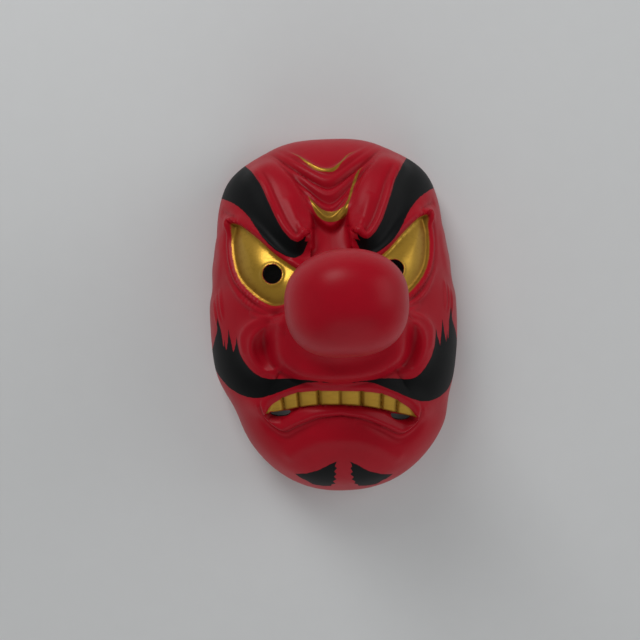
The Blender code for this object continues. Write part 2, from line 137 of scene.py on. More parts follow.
# Gold lines of the brow: line, half of the widest width in metres, and how fast it tapers
GOLD_STROKES = ((GOLD_WAVE, 0.0010, 0.9), (GOLD_CRESCENT, 0.0033, 1.5), (GOLD_RUN, 0.0006, 0.9))

# Ridges of the cheek: line, height in fold rises, and width in metres
CHEEK_CREASES = ((UNDER_EYE, 1.2, 0.0020), (UNDER_EYE_LOW, 0.9, 0.0016), (CHEEK_OUTER, 1.1, 0.0020),
                 (CHEEK_RIDGE, 0.9, 0.0018), *((line, 0.8, 0.0010) for line in FLAME_FOLDS))

# Frown folds: place on the middle line, width, and height in fold rises
FROWN_FOLDS = ((0.772, 0.016, 1.2), (0.728, 0.016, 0.4), (0.688, 0.015, -1.6), (0.660, 0.009, 0.6),
               (0.641, 0.009, 0.5), (0.605, 0.018, -1.0), (0.572, 0.012, 0.8), (0.522, 0.024, 1.6),
               (0.487, 0.009, 0.6))

# Places and spreads of the round forms, in the same shares
PUPIL = (0.428, 0.259)
SLOT = (0.450, -0.480)
CHIN = (0.0, -0.720)
CHIN_SPREAD = (0.42, 0.21)
EYE_BALL = (0.500, 0.300)
EYE_BALL_SPREAD = (0.26, 0.22)
EAR_SPAN = (0.18, 0.47)
BRIDGE_TOP = 0.472
BRIDGE_FOOT = 0.30

# Where the outline swells or draws in: place, spread and how much, at the crown, the forehead's
# corner, the temple, the cheekbone and the jaw's hinge
OUTLINE_SWELLS = ((0.95, 0.085, -0.105), (0.79, 0.11, 0.022), (0.41, 0.19, -0.055),
                  (0.21, 0.07, -0.024), (-0.48, 0.12, -0.034))

# Powers of the rounded outlines and of the dome; the higher, the squarer
OUTLINE_TOP = 2.8
OUTLINE_LOW = 2.25
NOSTRIL_SQUARE = 2.35
DOME_FLAT = 2.7
DOME_STEEP = 0.45
BULB_ROUND = 0.86
BULB_SQUARE = (0.36, 0.18)

# Share of the nose's rings that lie on its round end, and the height where it begins to lean, in
# depths of the face
BULB_RINGS = 0.6
LEAN_FROM = 1.06

# How far the nose's foot sits aside, and the band over the rim in which the carving runs out, in metres
NOSTRIL_ASIDE = 0.0015
RIM_BAND = 0.010

# Ragged end of the ink on the side walls: strokes round the mask, lowest height, and their length
STROKES = 130
INK_FOOT = 0.006
INK_FRAY = 0.009

# Softness in metres of a sharp carved edge, and of the same step on the inner skin
SHARP = 0.0006
INNER_SOFT = 0.0018

# The photograph's frame in pixels, and the camera: lens and sensor in millimetres, turns in degrees,
# the point that it aims at, the pixel where that point lands, and its distance in metres
FRAME = 640
LENS = 40
SENSOR = 36
CAMERA_TURNS = (0.7, 4.0, -2.6)
AIM_POINT = (0, 0.0023, 0.006)
AIM_PIXEL = (333.0, 313.6)
CAMERA_DISTANCE = 0.5086

# Lamps: name, place, edge, power, and whether the gloss shows them
LAMPS = (("window_light", (-0.45, 1.10, 0.85), 0.6, 9, True),
         ("left_light", (-1.25, -0.10, 0.50), 1.0, 0.8, False),
         ("right_light", (1.20, 0.30, 0.60), 1.0, 5, True),
         ("low_light", (0.15, -1.20, 0.55), 1.2, 1.8, True),
         ("low_fill", (-0.15, -1.20, 0.55), 1.2, 3.2, False))
SKY_STRENGTH = 0.24


def length(name, default, about):
    """A size that a user may change, in metres."""
    return bpy.props.FloatProperty(
        name=name, description=about, default=default, min=0.0, unit='LENGTH')


def colour(name, default, about):
    """A colour that a user may change."""
    return bpy.props.FloatVectorProperty(
        name=name, description=about, default=default, size=3, min=0.0, max=1.0, subtype='COLOR')


class MaskSizes(bpy.types.PropertyGroup):
    """Sizes of the mask and depths of its carving."""
    width: length("Width", 0.175, "Across the face, without the ears")
    length: length("Length", 0.250, "From the chin to the top of the forehead")
    face_depth: length("Face depth", 0.074, "From the rim to the middle of the face")
    wall: length("Wall", 0.003, "Thickness of the shell")
    nose_reach: length("Nose reach", CAD_HIGH[2], "From the rim to the tip of the nose")
    nose_root: length("Nose root", 0.007, "How far the nose's root lies above the middle")
    nose_lean: bpy.props.FloatProperty(
        name="Nose lean", description="How far the nose leans to the forehead",
        default=math.radians(6.9), subtype='ANGLE')
    nose_drift: length("Nose drift", 0.0022, "How far the nose's round end has drifted aside")
    brow_drift: length("Brow drift", 0.0012, "How far brows, eyes and beard sit to the other side")
    jaw_drift: length("Jaw drift", 0.0045, "How far the jaw's outline bends aside")
    mouth_slant: bpy.props.FloatProperty(
        name="Mouth slant", description="How far the mouth and the moustache tip to one side",
        default=0.075, subtype='FACTOR')
    shaft_width: length("Shaft width", 0.051, "Width of the nose's shaft")
    shaft_height: length("Shaft height", 0.046, "Height of the nose's shaft")
    shaft_top: length("Shaft top", 0.098, "Where the shaft begins to swell into the bulb")
    bulb_width: length("Bulb width", 0.0629, "Width of the nose's round end")
    bulb_height: length("Bulb height", 0.0548, "Height of the nose's round end")
    bulb_length: length("Bulb length", 0.041, "From the bulb's widest ring to its tip")
    flare: length("Flare", 0.0085, "How far the shaft's foot spreads")
    nostril_width: length("Nostril width", 0.0905, "Across both wings of the nose")
    nostril_height: length("Nostril height", 0.054, "From the bottom of the wings to the nose's root")
    nostril_rise: length("Nostril rise", 0.015, "How far the wings stand out of the face")
    nostril_low: length("Nostril foot", 0.0372, "How far the wings reach below the middle")
    brow_rise: length("Brow rise", 0.0065, "Height of the brow's tongues")
    eye_swell: length("Eye swell", 0.0070, "Height of the eyeballs")
    eye_sink: length("Eye sink", 0.0026, "How deep the eyes are set behind their lids")
    lid_rise: length("Lid rise", 0.0036, "Height of the lids")
    cheek_rise: length("Cheek rise", 0.0068, "Height of the fold from the nose to the cheek")
    hollow_sink: length("Hollow sink", 0.0038, "Depth between the nose's wing and the cheek")
    lip_rise: length("Lip rise", 0.0040, "Height of the lips")
    mouth_sink: length("Mouth sink", 0.0033, "Depth of the band that holds the teeth")
    tooth_swell: length("Tooth swell", 0.0026, "How round each tooth is")
    chin_rise: length("Chin rise", 0.0048, "Height of the chin")
    fold_rise: length("Fold rise", 0.0014, "Height of the fine folds")
    bridge_sink: length("Bridge sink", 0.0040, "Depth of the flat bridge of the nose")
    ear_rise: length("Ear rise", 0.0011, "How far the ears stand out")
    pupil_bore: length("Pupil bore", 0.012, "Width of the holes to look through")
    slot_length: length("Slot length", 0.0135, "Length of the slots under the last teeth")
    slot_height: length("Slot height", 0.0060, "Height of the slots under the last teeth")
    tie_bore: length("Tie bore", 0.004, "Width of the holes for a tie")
    tie_height: length("Tie height", 0.012, "How high the tie's holes lie above the rim")


class MaskColours(bpy.types.PropertyGroup):
    """Colours of the mask and of its stage."""
    red: colour("Red", (0.385, 0.0030, 0.0135), "Satin paint of the skin")
    # Deep red is painted shade in the skin's folds and creases, and also the real mist of red paint
    # inside near the rim
    deep_red: colour("Deep red", (0.200, 0.0015, 0.0060), "Skin in the folds")
    ink: colour("Ink", (0.0012, 0.0016, 0.0020), "Brows, moustache and beard")
    gold: colour("Gold", (0.470, 0.275, 0.036), "Eyes, teeth and lines of the brow")
    # Dark gold is painted shade on the gold of the teeth and eyes, and the brow lines' own duller tone
    dark_gold: colour("Old gold", (0.185, 0.075, 0.008), "Gold in the recesses")
    inside: colour("Inside", (0.030, 0.012, 0.010), "Bare plastic inside the shell")
    floor: colour("Floor", (0.680, 0.695, 0.700), "The pale floor")


def smooth_line(points, half_width, half_length, steps=8):
    """A smooth open line through points that are given in shares, in metres."""
    p = np.array(points) * (half_width, half_length)
    p = np.vstack([2 * p[0] - p[1], p, 2 * p[-1] - p[-2]])
    t = np.linspace(0, 1, steps, endpoint=False)[:, None]
    spans = []
    for a, b, c, d in zip(p, p[1:], p[2:], p[3:]):
        bend = (2 * a - 5 * b + 4 * c - d) * t ** 2 + (3 * b - a - 3 * c + d) * t ** 3
        spans.append(0.5 * (2 * b + (c - a) * t + bend))
    return np.vstack(spans + [p[-2:-1]])


def from_line(x, y, line, reach=1.0):
    """Distance to a line, positive on its left side, and the share of the way along it.

    A point further than the reach from the line's box only gets the reach.
    """
    low, high = line.min(axis=0) - reach, line.max(axis=0) + reach
    near = (x > low[0]) & (x < high[0]) & (y > low[1]) & (y < high[1])
    px, py = x[near], y[near]
    best = np.full(px.shape, np.inf)
    side = np.ones(px.shape)
    along = np.zeros(px.shape)
    count = len(line) - 1
    for i, (a, b) in enumerate(zip(line, line[1:])):
        dx, dy = b - a
        t = np.clip(((px - a[0]) * dx + (py - a[1]) * dy) / (dx * dx + dy * dy), 0, 1)
        far = np.hypot(px - a[0] - t * dx, py - a[1] - t * dy)
        nearer = far < best
        turn = dx * (py - a[1]) - dy * (px - a[0])
        best = np.where(nearer, far, best)
        side = np.where(nearer, np.where(turn >= 0, 1.0, -1.0), side)
        along = np.where(nearer, (i + t) / count, along)
    distance, way = np.full(x.shape, reach), np.zeros(x.shape)
    distance[near], way[near] = best * side, along
    return distance, way


def within(x, y, outline, reach=0.015):
    """Distance to a closed outline, positive inside it."""
    far = np.abs(from_line(x, y, np.vstack([outline, outline[:1]]), reach)[0])
    near = far < reach + 0.05
    px, py = x[near], y[near]
    crossings = np.zeros(px.shape, dtype=int)
    for a, b in zip(outline, np.roll(outline, -1, axis=0)):
        spans = (a[1] > py) != (b[1] > py)
        step = np.where(spans, b[1] - a[1], 1.0)
        crossings += spans & (px < a[0] + (py - a[1]) * (b[0] - a[0]) / step)
    distance = -far
    distance[near] = np.where(crossings % 2 == 1, far[near], -far[near])
    return distance


def mound(distance, width):
    """A rounded ridge over a line: 1 on the line, and nearly 0 at twice the width."""
    return np.exp(-(distance / width) ** 2)


def rise(distance, width):
    """A soft step: 0 well before the line, 1 well after it."""
    return 0.5 + 0.5 * np.tanh(distance / width)


def soft_step(value, low, high):
    """0 up to low and 1 from high on, with a smooth way between them."""
    share = np.clip((value - low) / (high - low), 0, 1)
    return share * share * (3 - 2 * share)


class Face:
    """The carved face as functions of the place on it, seen along Z."""

    def __init__(self, sizes):
        self.size = sizes
        self.half_width = sizes.width / 2
        self.half_length = sizes.length / 2

    def line(self, points, steps=8):
        return smooth_line(points, self.half_width, self.half_length, steps)

    def off(self, x, y, points, reach=0.04):
        """Distance to a smooth carving line, positive on its left side."""
        return from_line(x, y, self.line(points), reach)[0]

    def crease(self, x, y, points, width):
        """A rounded ridge over a carving line, which runs out towards the line's ends."""
        far, along = from_line(x, y, self.line(points), 0.04)
        return mound(far, width) * np.sin(math.pi * np.clip(along, 0, 1)) ** 0.5

    def drawing(self, x, y):
        """Where a place lies on the even drawing, which the real mould follows a little askew."""
        slant = self.size.mouth_slant * soft_step(-y, 0.005, 0.055)
        drifted = soft_step(y, -0.010, 0.030) + soft_step(-y, 0.080, 0.105)
        return x + self.size.brow_drift * drifted, y + slant * x

    def boss(self, x, y, middle, spread):
        """Distance from the middle of an oval, in spreads."""
        u, v = x / self.half_width, y / self.half_length
        return np.hypot((u - middle[0]) / spread[0], (v - middle[1]) / spread[1])

    def outline_share(self, x, y):
        """0 in the middle of the face and 1 on its outline, a soft rounded oblong."""
        v = y / self.half_length
        wide = 1 + sum(swell * mound(v - place, spread) for place, spread, swell in OUTLINE_SWELLS)
        u = np.abs(x) / self.half_width / wide
        power = OUTLINE_LOW + (OUTLINE_TOP - OUTLINE_LOW) * rise(v, 0.25)
        return (u ** power + np.abs(v) ** power) ** (1 / power)

    def rim_point(self, angle):
        """Where a ray from the middle of the face meets the outline."""
        c, s = np.cos(angle), np.sin(angle)
        reach = np.ones(angle.shape)
        for _ in range(30):
            x, y = reach * c * self.half_width, reach * s * self.half_length
            reach = reach / self.outline_share(x, y)
        return reach * c * self.half_width, reach * s * self.half_length

    def height(self, x, y):
        """The smooth face without carving: a deep dome that ends in upright side walls."""
        share = np.clip(self.outline_share(x, y), 0, 1)
        return self.size.face_depth * (1 - share ** DOME_FLAT) ** DOME_STEEP

    def frown_level(self, x, y):
        """Which of the nested frown folds a point is on, as a height on the middle line."""
        level = y.copy()
        bend = 0.065 * self.half_width
        for _ in range(6):
            slope = 0.76 + 0.80 * rise(0.60 * self.half_length - level, 0.08 * self.half_length)
            level = y - slope * (np.sqrt(x ** 2 + bend ** 2) - bend)
        return level / self.half_length

    def broad(self, x, y):
        """The large forms, which both skins of the shell follow."""
        size = self.size
        inland = rise(0.90 - self.outline_share(x, y), 0.035)
        foot = self.nostrils(x, y)
        x, y = self.drawing(x, y)
        x = np.abs(x)
        fold = self.off(x, y, FROWN_FOLD, 1.0)
        crest = -self.off(x, y, BROW_TOP, 1.0)
        tongue = rise(fold, 0.0030) * rise(crest, 0.0030)
        across = np.clip(fold / (np.abs(fold) + np.abs(crest) + 1e-6), 0, 1)
        relief = size.brow_rise * tongue * (0.45 + 0.55 * np.sin(math.pi * across)) * inland
        relief += size.brow_rise * mound(crest, 0.0065) * inland
        relief += size.eye_swell * mound(self.boss(x, y, EYE_BALL, EYE_BALL_SPREAD), 1)
        relief += size.cheek_rise * self.crease(x, y, CHEEK_RIDGE, 0.0080)
        relief -= size.hollow_sink * self.crease(x, y, HOLLOW, 0.0072)
        relief += size.lip_rise * mound(self.off(x, y, UPPER_LIP), 0.0080)
        relief += size.chin_rise * mound(self.boss(x, y, CHIN, CHIN_SPREAD), 1) * inland
        return relief + foot

    def wing_edge(self, x, y):
        """Distance inside the outline of the nose's wide foot."""
        size = self.size
        x = x - NOSTRIL_ASIDE
        middle = size.nostril_height / 2 - size.nostril_low
        u, v = np.abs(x / (size.nostril_width / 2)), np.abs((y - middle) / (size.nostril_height / 2))
        share = (u ** NOSTRIL_SQUARE + v ** NOSTRIL_SQUARE) ** (1 / NOSTRIL_SQUARE)
        return (1 - share) * size.nostril_height / 2

    def nostrils(self, x, y):
        """The wide rounded foot of the nose, with the two wings."""
        return self.size.nostril_rise * rise(self.wing_edge(x, y) - 0.0022, 0.0020)

    def wing_swell(self, x, y):
        """The low swell along the wings' edge, and the crease at its foot."""
        edge = self.wing_edge(x, y)
        low = rise(0.10 - y / self.half_length, 0.03)
        swell = 0.7 * mound(edge - 0.0075, 0.0034) - 0.5 * mound(edge + 0.0012, 0.0012)
        return self.size.fold_rise * low * swell

    def wing_backing(self, x, y):
        """How the inner skin keeps clear of the sharp bend at the wings' foot."""
        return -2.6 * self.size.fold_rise * mound(self.wing_edge(x, y) + 0.0005, 0.0060)

    def eye(self, x, y):
        """Distance inside the edge of the eye."""
        outline = np.vstack([self.line(EYE_TOP), self.line(EYE_LOW)[::-1][1:-1]])
        return within(np.abs(x), y, outline)

    def mouth(self, x, y, low=MOUTH_LOW):
        """Distance inside the edge of the mouth's sunk band."""
        outline = np.vstack([self.line(MOUTH_TOP), self.line(low)[::-1][1:]])
        outline = np.vstack([outline, outline[::-1][1:-1] * (-1, 1)])
        return within(x, y, outline)

    def bridge(self, x, y):
        """Distance to the frown fold, and 1 on the flat bridge under the frown, 0 off it."""
        fold = self.off(np.abs(x), y, FROWN_FOLD, 1.0)
        under_frown = rise(BRIDGE_TOP - self.frown_level(np.abs(x), y), 0.012)
        return fold, under_frown * rise(y / self.half_length - BRIDGE_FOOT, 0.035)

    def behind(self, x, y):
        """How the inner skin steps back behind the eyes, the mouth and the bridge, to keep the wall."""
        size = self.size
        fold, bridge = self.bridge(x, y)
        relief = -size.eye_sink * rise(self.eye(x, y) + size.wall / 2, INNER_SOFT)
        relief -= size.mouth_sink * rise(self.mouth(x, y) + 0.8 * size.wall, INNER_SOFT)
        return relief - size.bridge_sink * bridge * rise(size.wall / 2 - fold, INNER_SOFT)

    def fine(self, x, y):
        """The sharper carving, on the outer skin alone."""
        right = np.abs(x)
        relief = self.fine_brow(right, y) + self.fine_frown(right, y) + self.fine_eye(right, y)
        return relief + self.fine_cheek(right, y) + self.fine_mouth(x, y)

    def fine_brow(self, x, y):
        """The crest along the brow's ink, the valley beside it and the ridge down the tongue."""
        rise_by = self.size.fold_rise
        inland = rise(0.86 - self.outline_share(x, y), 0.03)
        crest = -self.off(x, y, BROW_TOP)
        relief = 1.0 * mound(crest - 0.0014, 0.0018) - 0.8 * mound(crest - 0.0054, 0.0020)
        relief += 0.8 * self.crease(x, y, TONGUE_RIDGE, 0.0026)
        return rise_by * relief * inland * rise(y / self.half_length - 0.36, 0.03)

    def fine_frown(self, x, y):
        """The nested frown folds between the brows, and the flat bridge under them."""
        size = self.size
        fold, bridge = self.bridge(x, y)
        between = rise(-fold - 0.0013, 0.0024)
        level = self.frown_level(x, y)
        relief = sum(height * mound(level - place, width) for place, width, height in FROWN_FOLDS)
        relief = size.fold_rise * relief * rise(0.88 - y / self.half_length, 0.035)
        relief = between * (relief - size.bridge_sink * bridge)
        v = y / self.half_length
        ridge = 1.3 * rise(0.60 - v, 0.05)
        groove = 1.2 * rise(v - 0.60, 0.05) * rise(0.84 - v, 0.04)
        return relief + size.fold_rise * (ridge - groove) * mound(fold, 0.0022)

    def fine_eye(self, x, y):
        """The sunk eye between its lids, and the folds nested round it."""
        size = self.size
        inside = self.eye(x, y)
        top, low = np.abs(self.off(x, y, EYE_TOP)), np.abs(self.off(x, y, EYE_LOW))
        outside = rise(-inside, SHARP)
        relief = -size.eye_sink * rise(inside, 0.0010) * (0.10 + 0.90 * mound(inside, 0.010))
        relief += size.lid_rise * outside * mound(top - 0.0020, 0.0038)
        relief += 0.40 * size.lid_rise * outside * mound(low - 0.0012, 0.0016)
        relief -= 0.8 * size.fold_rise * mound(self.off(x, y, LID_FOLD), 0.0016)
        relief -= 0.6 * size.fold_rise * outside * mound(low - 0.0042, 0.0012)
        pupil = np.hypot(x - PUPIL[0] * self.half_width, y - PUPIL[1] * self.half_length)
        return relief + 0.6 * size.fold_rise * mound(pupil - 0.56 * size.pupil_bore, 0.0011)

    def fine_cheek(self, x, y):
        """The folds under the eye and round the cheek, and the flame folds at the sides."""
        relief = sum(height * self.crease(x, y, line, width) for line, height, width in CHEEK_CREASES)
        return self.size.fold_rise * relief

    def across_teeth(self, x):
        """The number of gaps between the middle and a point, with the share of its own tooth."""
        gaps = np.array(TOOTH_GAPS) * self.half_width
        return np.interp(np.abs(x), gaps, np.arange(len(gaps)))

    def tooth_share(self, x):
        """How far across its own tooth a point lies: 0 in the gaps and 1 in the middle."""
        return np.abs(np.sin(math.pi * self.across_teeth(x)))

    def fine_mouth(self, x, y):
        """The drawn-down mouth: the sunk band with its teeth, the lower lip and the fold under it."""
        size = self.size
        inside = self.mouth(x, y)
        teeth = self.mouth(x, y, TEETH_LOW)
        x = np.abs(x)
        tooth = self.tooth_share(x)
        relief = rise(inside, SHARP) * -size.mouth_sink
        relief += size.tooth_swell * rise(teeth, SHARP) * np.minimum(tooth * 2.2, 1) ** 0.5
        edge = self.off(x, y, LIP_EDGE)
        outside = rise(-inside, SHARP)
        low_side = rise(-0.42 - y / self.half_length, 0.02)
        relief += 0.6 * size.lip_rise * mound(edge - 0.0028, 0.0028) * outside * low_side
        relief -= 0.9 * size.fold_rise * mound(edge + 0.0006, 0.0010) * low_side
        relief -= 0.9 * size.fold_rise * self.crease(x, y, LIP_FOLD, 0.0026)
        relief += 0.9 * size.fold_rise * mound(self.off(x, y, CHIN_CREST), 0.0050)
        upper = self.off(x, y, UPPER_LIP)
        return relief + 0.5 * size.fold_rise * mound(upper, 0.0016) * outside

    def ears(self, x, y, z):
        """The low ears, moulded on the upright side walls."""
        low, high = EAR_SPAN
        thick = 0.011
        along = (y / self.half_length - (low + high) / 2) / ((high - low) / 2)
        share = np.hypot(along, (z - 0.026) / (1.6 * thick))
        at_side = rise(np.abs(x) - 0.8 * self.half_width, 0.0018)
        ear = self.size.ear_rise * rise((1 - share) * thick, 0.0018)
        dish = 0.5 * self.size.ear_rise * mound(share, 0.5)
        return (ear - dish) * at_side

    def ink(self, x, y):
        """Distance inside the ink of the brows, the moustache and the beard."""
        right = np.abs(x)
        corner = np.array([(1.06, 1.0)]) * (self.half_width, self.half_length)
        brow = np.vstack([self.line(BROW_TOP)[:-9], self.line(BROW_HOOK, 4),
                          self.line(BROW_LOW)[::-1][1:], corner])
        inside = within(right, y, brow)
        hairs = np.array(MOUSTACHE_HAIRS) * (self.half_width, self.half_length)
        moustache = np.vstack([self.line(MOUSTACHE_TOP), hairs[1:],
                               self.line(MOUSTACHE_LOW)[::-1][1:-1]])
        inside = np.maximum(inside, within(right, y, moustache))
        tuft = np.array(TUFT) * (self.half_width, self.half_length)
        return np.maximum(inside, within(right, y, tuft))

    def low_strokes(self, column, z):
        """Height above the ragged edge where the strokes of the ink end on the side walls."""
        stroke = np.abs((column * STROKES / AROUND) % 1 - 0.5) * 2
        long_stroke = np.sin(column * STROKES * math.pi / AROUND / 3.7) ** 2
        return (z - INK_FOOT - INK_FRAY * stroke * (0.4 + 0.6 * long_stroke)) * 0.5

    def gold_lines(self, x, y):
        """Distance inside the gold lines of the brow."""
        inside = np.full(x.shape, -1.0)
        for points, widest, taper in GOLD_STROKES:
            far, along = from_line(x, y, self.line(points), 0.02)
            inside = np.maximum(inside, widest * np.sin(math.pi * along) ** taper - np.abs(far))
        return inside

    def gold(self, x, y):
        """Distance inside the gold of the eyes, the teeth and the lines of the brow."""
        inside = np.maximum(self.eye(x, y), self.mouth(x, y, TEETH_LOW))
        return np.maximum(inside, self.gold_lines(x, y))

    def gold_shade_and_tone(self, x, y):
        """How much the gold darkens, 0 to 1: painted shade between, beside and under the teeth and low
        in the eye, and the brow lines' own duller tone.
        """
        band = rise(self.mouth(x, y) + 0.001, 0.0005)
        # Painted shade in the gaps between the teeth
        teeth = 0.8 * band * (1 - np.minimum(self.tooth_share(x) * 3.6, 1))
        # Painted shade on one side of each middle tooth, as if the light fell from the other side
        part = self.across_teeth(x) % 1
        part = np.where(x > 0, part, 1 - part)
        teeth = np.maximum(teeth, 0.50 * band * (1 - soft_step(part, 0.05, 0.60)) * mound(x, 0.034))
        # Painted shade on the sunk band's wall under the teeth
        under = rise(self.mouth(x, y), 0.0005) * rise(-self.mouth(x, y, TEETH_LOW), 0.0004)
        # Painted shade along the eyeball's lower edge
        low = np.abs(self.off(np.abs(x), y, EYE_LOW))
        shade = 0.8 * mound(low, 0.0045) * rise(self.eye(x, y), SHARP)
        # The brow's gold lines are duller in their own tone, which is not shade
        lines = 0.55 * rise(self.gold_lines(x, y) + 0.002, 0.0008)
        return np.clip(teeth + under + shade + lines, 0, 1)


def outward(points):
    """Outward unit normals of a grid of rings, from its own neighbours."""
    turn = np.roll(points, -1, axis=1) - np.roll(points, 1, axis=1)
    down = np.gradient(points, axis=0)
    normal = np.cross(down, turn)
    return normal / np.linalg.norm(normal, axis=-1, keepdims=True)


def softened(points, passes):
    """Evens out a grid of rings, except its first and its last ring."""
    points = points.copy()
    for _ in range(passes):
        beside = np.roll(points, 1, axis=1) + np.roll(points, -1, axis=1)
        points[1:-1] = (points[:-2] + points[2:] + beside[1:-1] + 2 * points[1:-1]) / 6
    return points


def lean(points, face):
    """Leans what stands above the face towards the forehead, and bends the jaw a little aside."""
    size = face.size
    start = LEAN_FROM * size.face_depth
    above = np.maximum(points[..., 2] - start, 0)
    points[..., 1] += above * math.tan(size.nose_lean)
    points[..., 0] += above * size.nose_drift / (size.nose_reach - size.bulb_length - start)
    share = np.minimum(face.outline_share(points[..., 0], points[..., 1]), 1)
    points[..., 0] += size.jaw_drift * share ** 4 * soft_step(-points[..., 1], 0.030, 0.078)
    return points


def column_angles():
    """The angle of each column, a little closer together over the brow and the mouth."""
    even = np.linspace(0, 2 * math.pi, AROUND, endpoint=False)
    return even + COLUMN_CROWDING * np.sin(2 * even)


def ring_steps(face_depth, rings):
    """Shares of the way from the shaft to the rim, at even lengths along the dome."""
    share = np.linspace(0, 1, 4000)
    dome = face_depth * (1 - share ** DOME_FLAT) ** DOME_STEEP
    length_step = np.hypot(MEAN_WAY_OUT * np.diff(share), np.diff(dome))
    wall = share[1:] ** 12
    way = np.concatenate([[0], np.cumsum(length_step * (1 - 0.55 * wall))])
    steps = np.interp(np.linspace(0, way[-1], rings + 1), way, share)
    steps[-1] = 1
    return steps


def face_grid(face, rings):
    """Points of the broad face from the shaft out to the rim, how far the carving may move each,
    and how much of each belongs to the shaft's spreading foot."""
    size = face.size
    angle = column_angles()
    start_x = size.shaft_width / 2 * np.cos(angle)
    start_y = size.nose_root + size.shaft_height / 2 * np.sin(angle)
    end_x, end_y = face.rim_point(angle)
    step = ring_steps(size.face_depth, rings)[:, None]
    x = start_x + (end_x - start_x) * step
    y = start_y + (end_y - start_y) * step
    z = face.height(x, y)
    z[-1] = 0
    base = np.stack([x, y, z], -1)
    normal = outward(base)
    edge = np.clip(z / RIM_BAND, 0, 1)[..., None]
    ears = face.ears(x, y, z)
    points = base.copy()
    for _ in range(5):
        relief = face.broad(points[..., 0], points[..., 1]) + ears
        points = (points + base + normal * relief[..., None] * edge) / 2
    share = np.hypot(x / (size.shaft_width / 2), (y - size.nose_root) / (size.shaft_height / 2))
    off = np.maximum(share - 1, 0) * size.shaft_width / 2
    return points, edge, np.exp(-(off / size.flare) ** 0.8)


def carved(points, relief, edge, foot, size):
    """The face with its fine carving, and with the shaft's foot drawn up out of it."""
    points = points + outward(points) * relief[..., None] * edge
    points[..., 2] += (size.shaft_top - points[..., 2]) * foot
    return points


def nose_grid(size, rings):
    """Points of the nose, ring by ring, from just under its tip down to the shaft's foot."""
    angle = column_angles()
    widest = size.nose_reach - size.bulb_length
    t = np.linspace(0, 1, rings + 1)[1:, None]
    turn = np.clip(t / BULB_RINGS, 0, 1) * math.pi / 2
    down = np.clip((t - BULB_RINGS) / (1 - BULB_RINGS), 0, 1)
    z = widest + size.bulb_length * np.cos(turn) ** BULB_ROUND + (size.shaft_top - widest) * down
    share = np.sin(turn) ** BULB_ROUND
    swell = 0.5 + 0.5 * np.cos(math.pi * down)
    half_x = share * (size.shaft_width + (size.bulb_width - size.shaft_width) * swell) / 2
    half_y = share * (size.shaft_height + (size.bulb_height - size.shaft_height) * swell) / 2
    power = 2 + swell * (BULB_SQUARE[0] - BULB_SQUARE[1] * np.sin(angle))
    c, s = np.cos(angle), np.sin(angle)
    reach = (np.abs(c) ** power + np.abs(s) ** power) ** (-1 / power)
    return np.stack([half_x * reach * c, size.nose_root + half_y * reach * s, z + 0 * c], -1)


def shell_rings(face):
    """All rings from the nose's tip over the rim to the inner tip, and their places on the drawing."""
    size = face.size
    nose = nose_grid(size, NOSE_RINGS)[:-1]
    broad, edge, foot = face_grid(face, FACE_RINGS)
    x, y = broad[..., 0], broad[..., 1]
    drawn = face.drawing(x, y)
    outside = carved(broad, face.fine(*drawn) + face.wing_swell(x, y), edge, foot, size)
    behind = carved(broad, face.behind(*drawn) + face.wing_backing(x, y), edge, foot, size)
    outer = lean(np.vstack([nose, outside]), face)
    inner = softened(lean(np.vstack([nose, behind]), face), INNER_PASSES)
    inner = inner - size.wall * outward(inner)
    kept = np.unique(np.concatenate([np.linspace(*span) for span in INNER_SPANS]).astype(int))
    inner = inner[kept][::-1]
    inner[0, :, 2] = 0
    lip = outer[-1:] * 0.8 + inner[:1] * 0.2
    lip[..., 2] = 0
    edge = outer[-1:] * 0.2 + inner[:1] * 0.8
    edge[..., 2] = 0
    rings = np.vstack([outer, lip, edge, inner])
    places = np.full(rings.shape[:2] + (2,), 1.0)
    places[len(nose):len(outer)] = np.stack(drawn, -1)
    places[:len(nose)] = outside[:1, :, :2]
    return rings, places, len(outer)


def deselect_all():
    """Leaves nothing selected, so that an operator acts on the new piece alone."""
    if bpy.context.object and bpy.context.object.mode != 'OBJECT':
        bpy.ops.object.mode_set(mode='OBJECT')
    bpy.ops.object.select_all(action='DESELECT')


def mould_shell(face):
    """Moves the points of a finely divided ball onto the shell's rings."""
    rings, places, outer_count = shell_rings(face)
    deselect_all()
    bpy.ops.mesh.primitive_uv_sphere_add(segments=AROUND, ring_count=len(rings) + 1, radius=1)
    shell = bpy.context.active_object
    shell.name = shell.data.name = "mask_shell"
    ball = np.empty(len(shell.data.vertices) * 3)
    shell.data.vertices.foreach_get("co", ball)
    ball = ball.reshape(-1, 3)
    ring = np.rint(np.arccos(np.clip(ball[:, 2], -1, 1)) / math.pi * (len(rings) + 1)).astype(int) - 1
    column = np.rint(np.arctan2(ball[:, 1], ball[:, 0]) / (2 * math.pi) * AROUND).astype(int) % AROUND
    top, bottom = ring < 0, ring >= len(rings)
    ring = np.clip(ring, 0, len(rings) - 1)
    points = rings[ring, column]
    points[top] = rings[0].mean(axis=0) + (0, 0, 0.0003)
    points[bottom] = rings[-1].mean(axis=0) + (0, 0, 0.0002)
    shell.data.vertices.foreach_set("co", points.ravel())
    shell.data.update()
    place = places[ring, column]
    outside = ring < outer_count
    x, y = place[outside].T
    strokes = face.low_strokes(column[outside], points[outside, 2])
    fields = {
        "ink": np.clip(np.minimum(face.ink(x, y), strokes) + FIELD_ZERO, 0, 2 * FIELD_ZERO),
        "gold": np.clip(face.gold(x, y) + FIELD_ZERO, 0, 2 * FIELD_ZERO),
        "gold_shade_and_tone": face.gold_shade_and_tone(x, y),
    }
    for name, values in fields.items():
        kept = np.zeros(len(ring), dtype=np.float32)
        kept[outside] = values
        shell.data.attributes.new(name, 'FLOAT', 'POINT').data.foreach_set("value", kept)
    return shell, ring, outer_count, (rings[:outer_count], places[:outer_count])


def spot(carved_grid, x, y):
    """Where a place of the drawing lies on the carved skin."""
    points, drawn = carved_grid
    far = np.hypot(drawn[..., 0] - x, drawn[..., 1] - y)
    return points[np.unravel_index(far.argmin(), far.shape)]


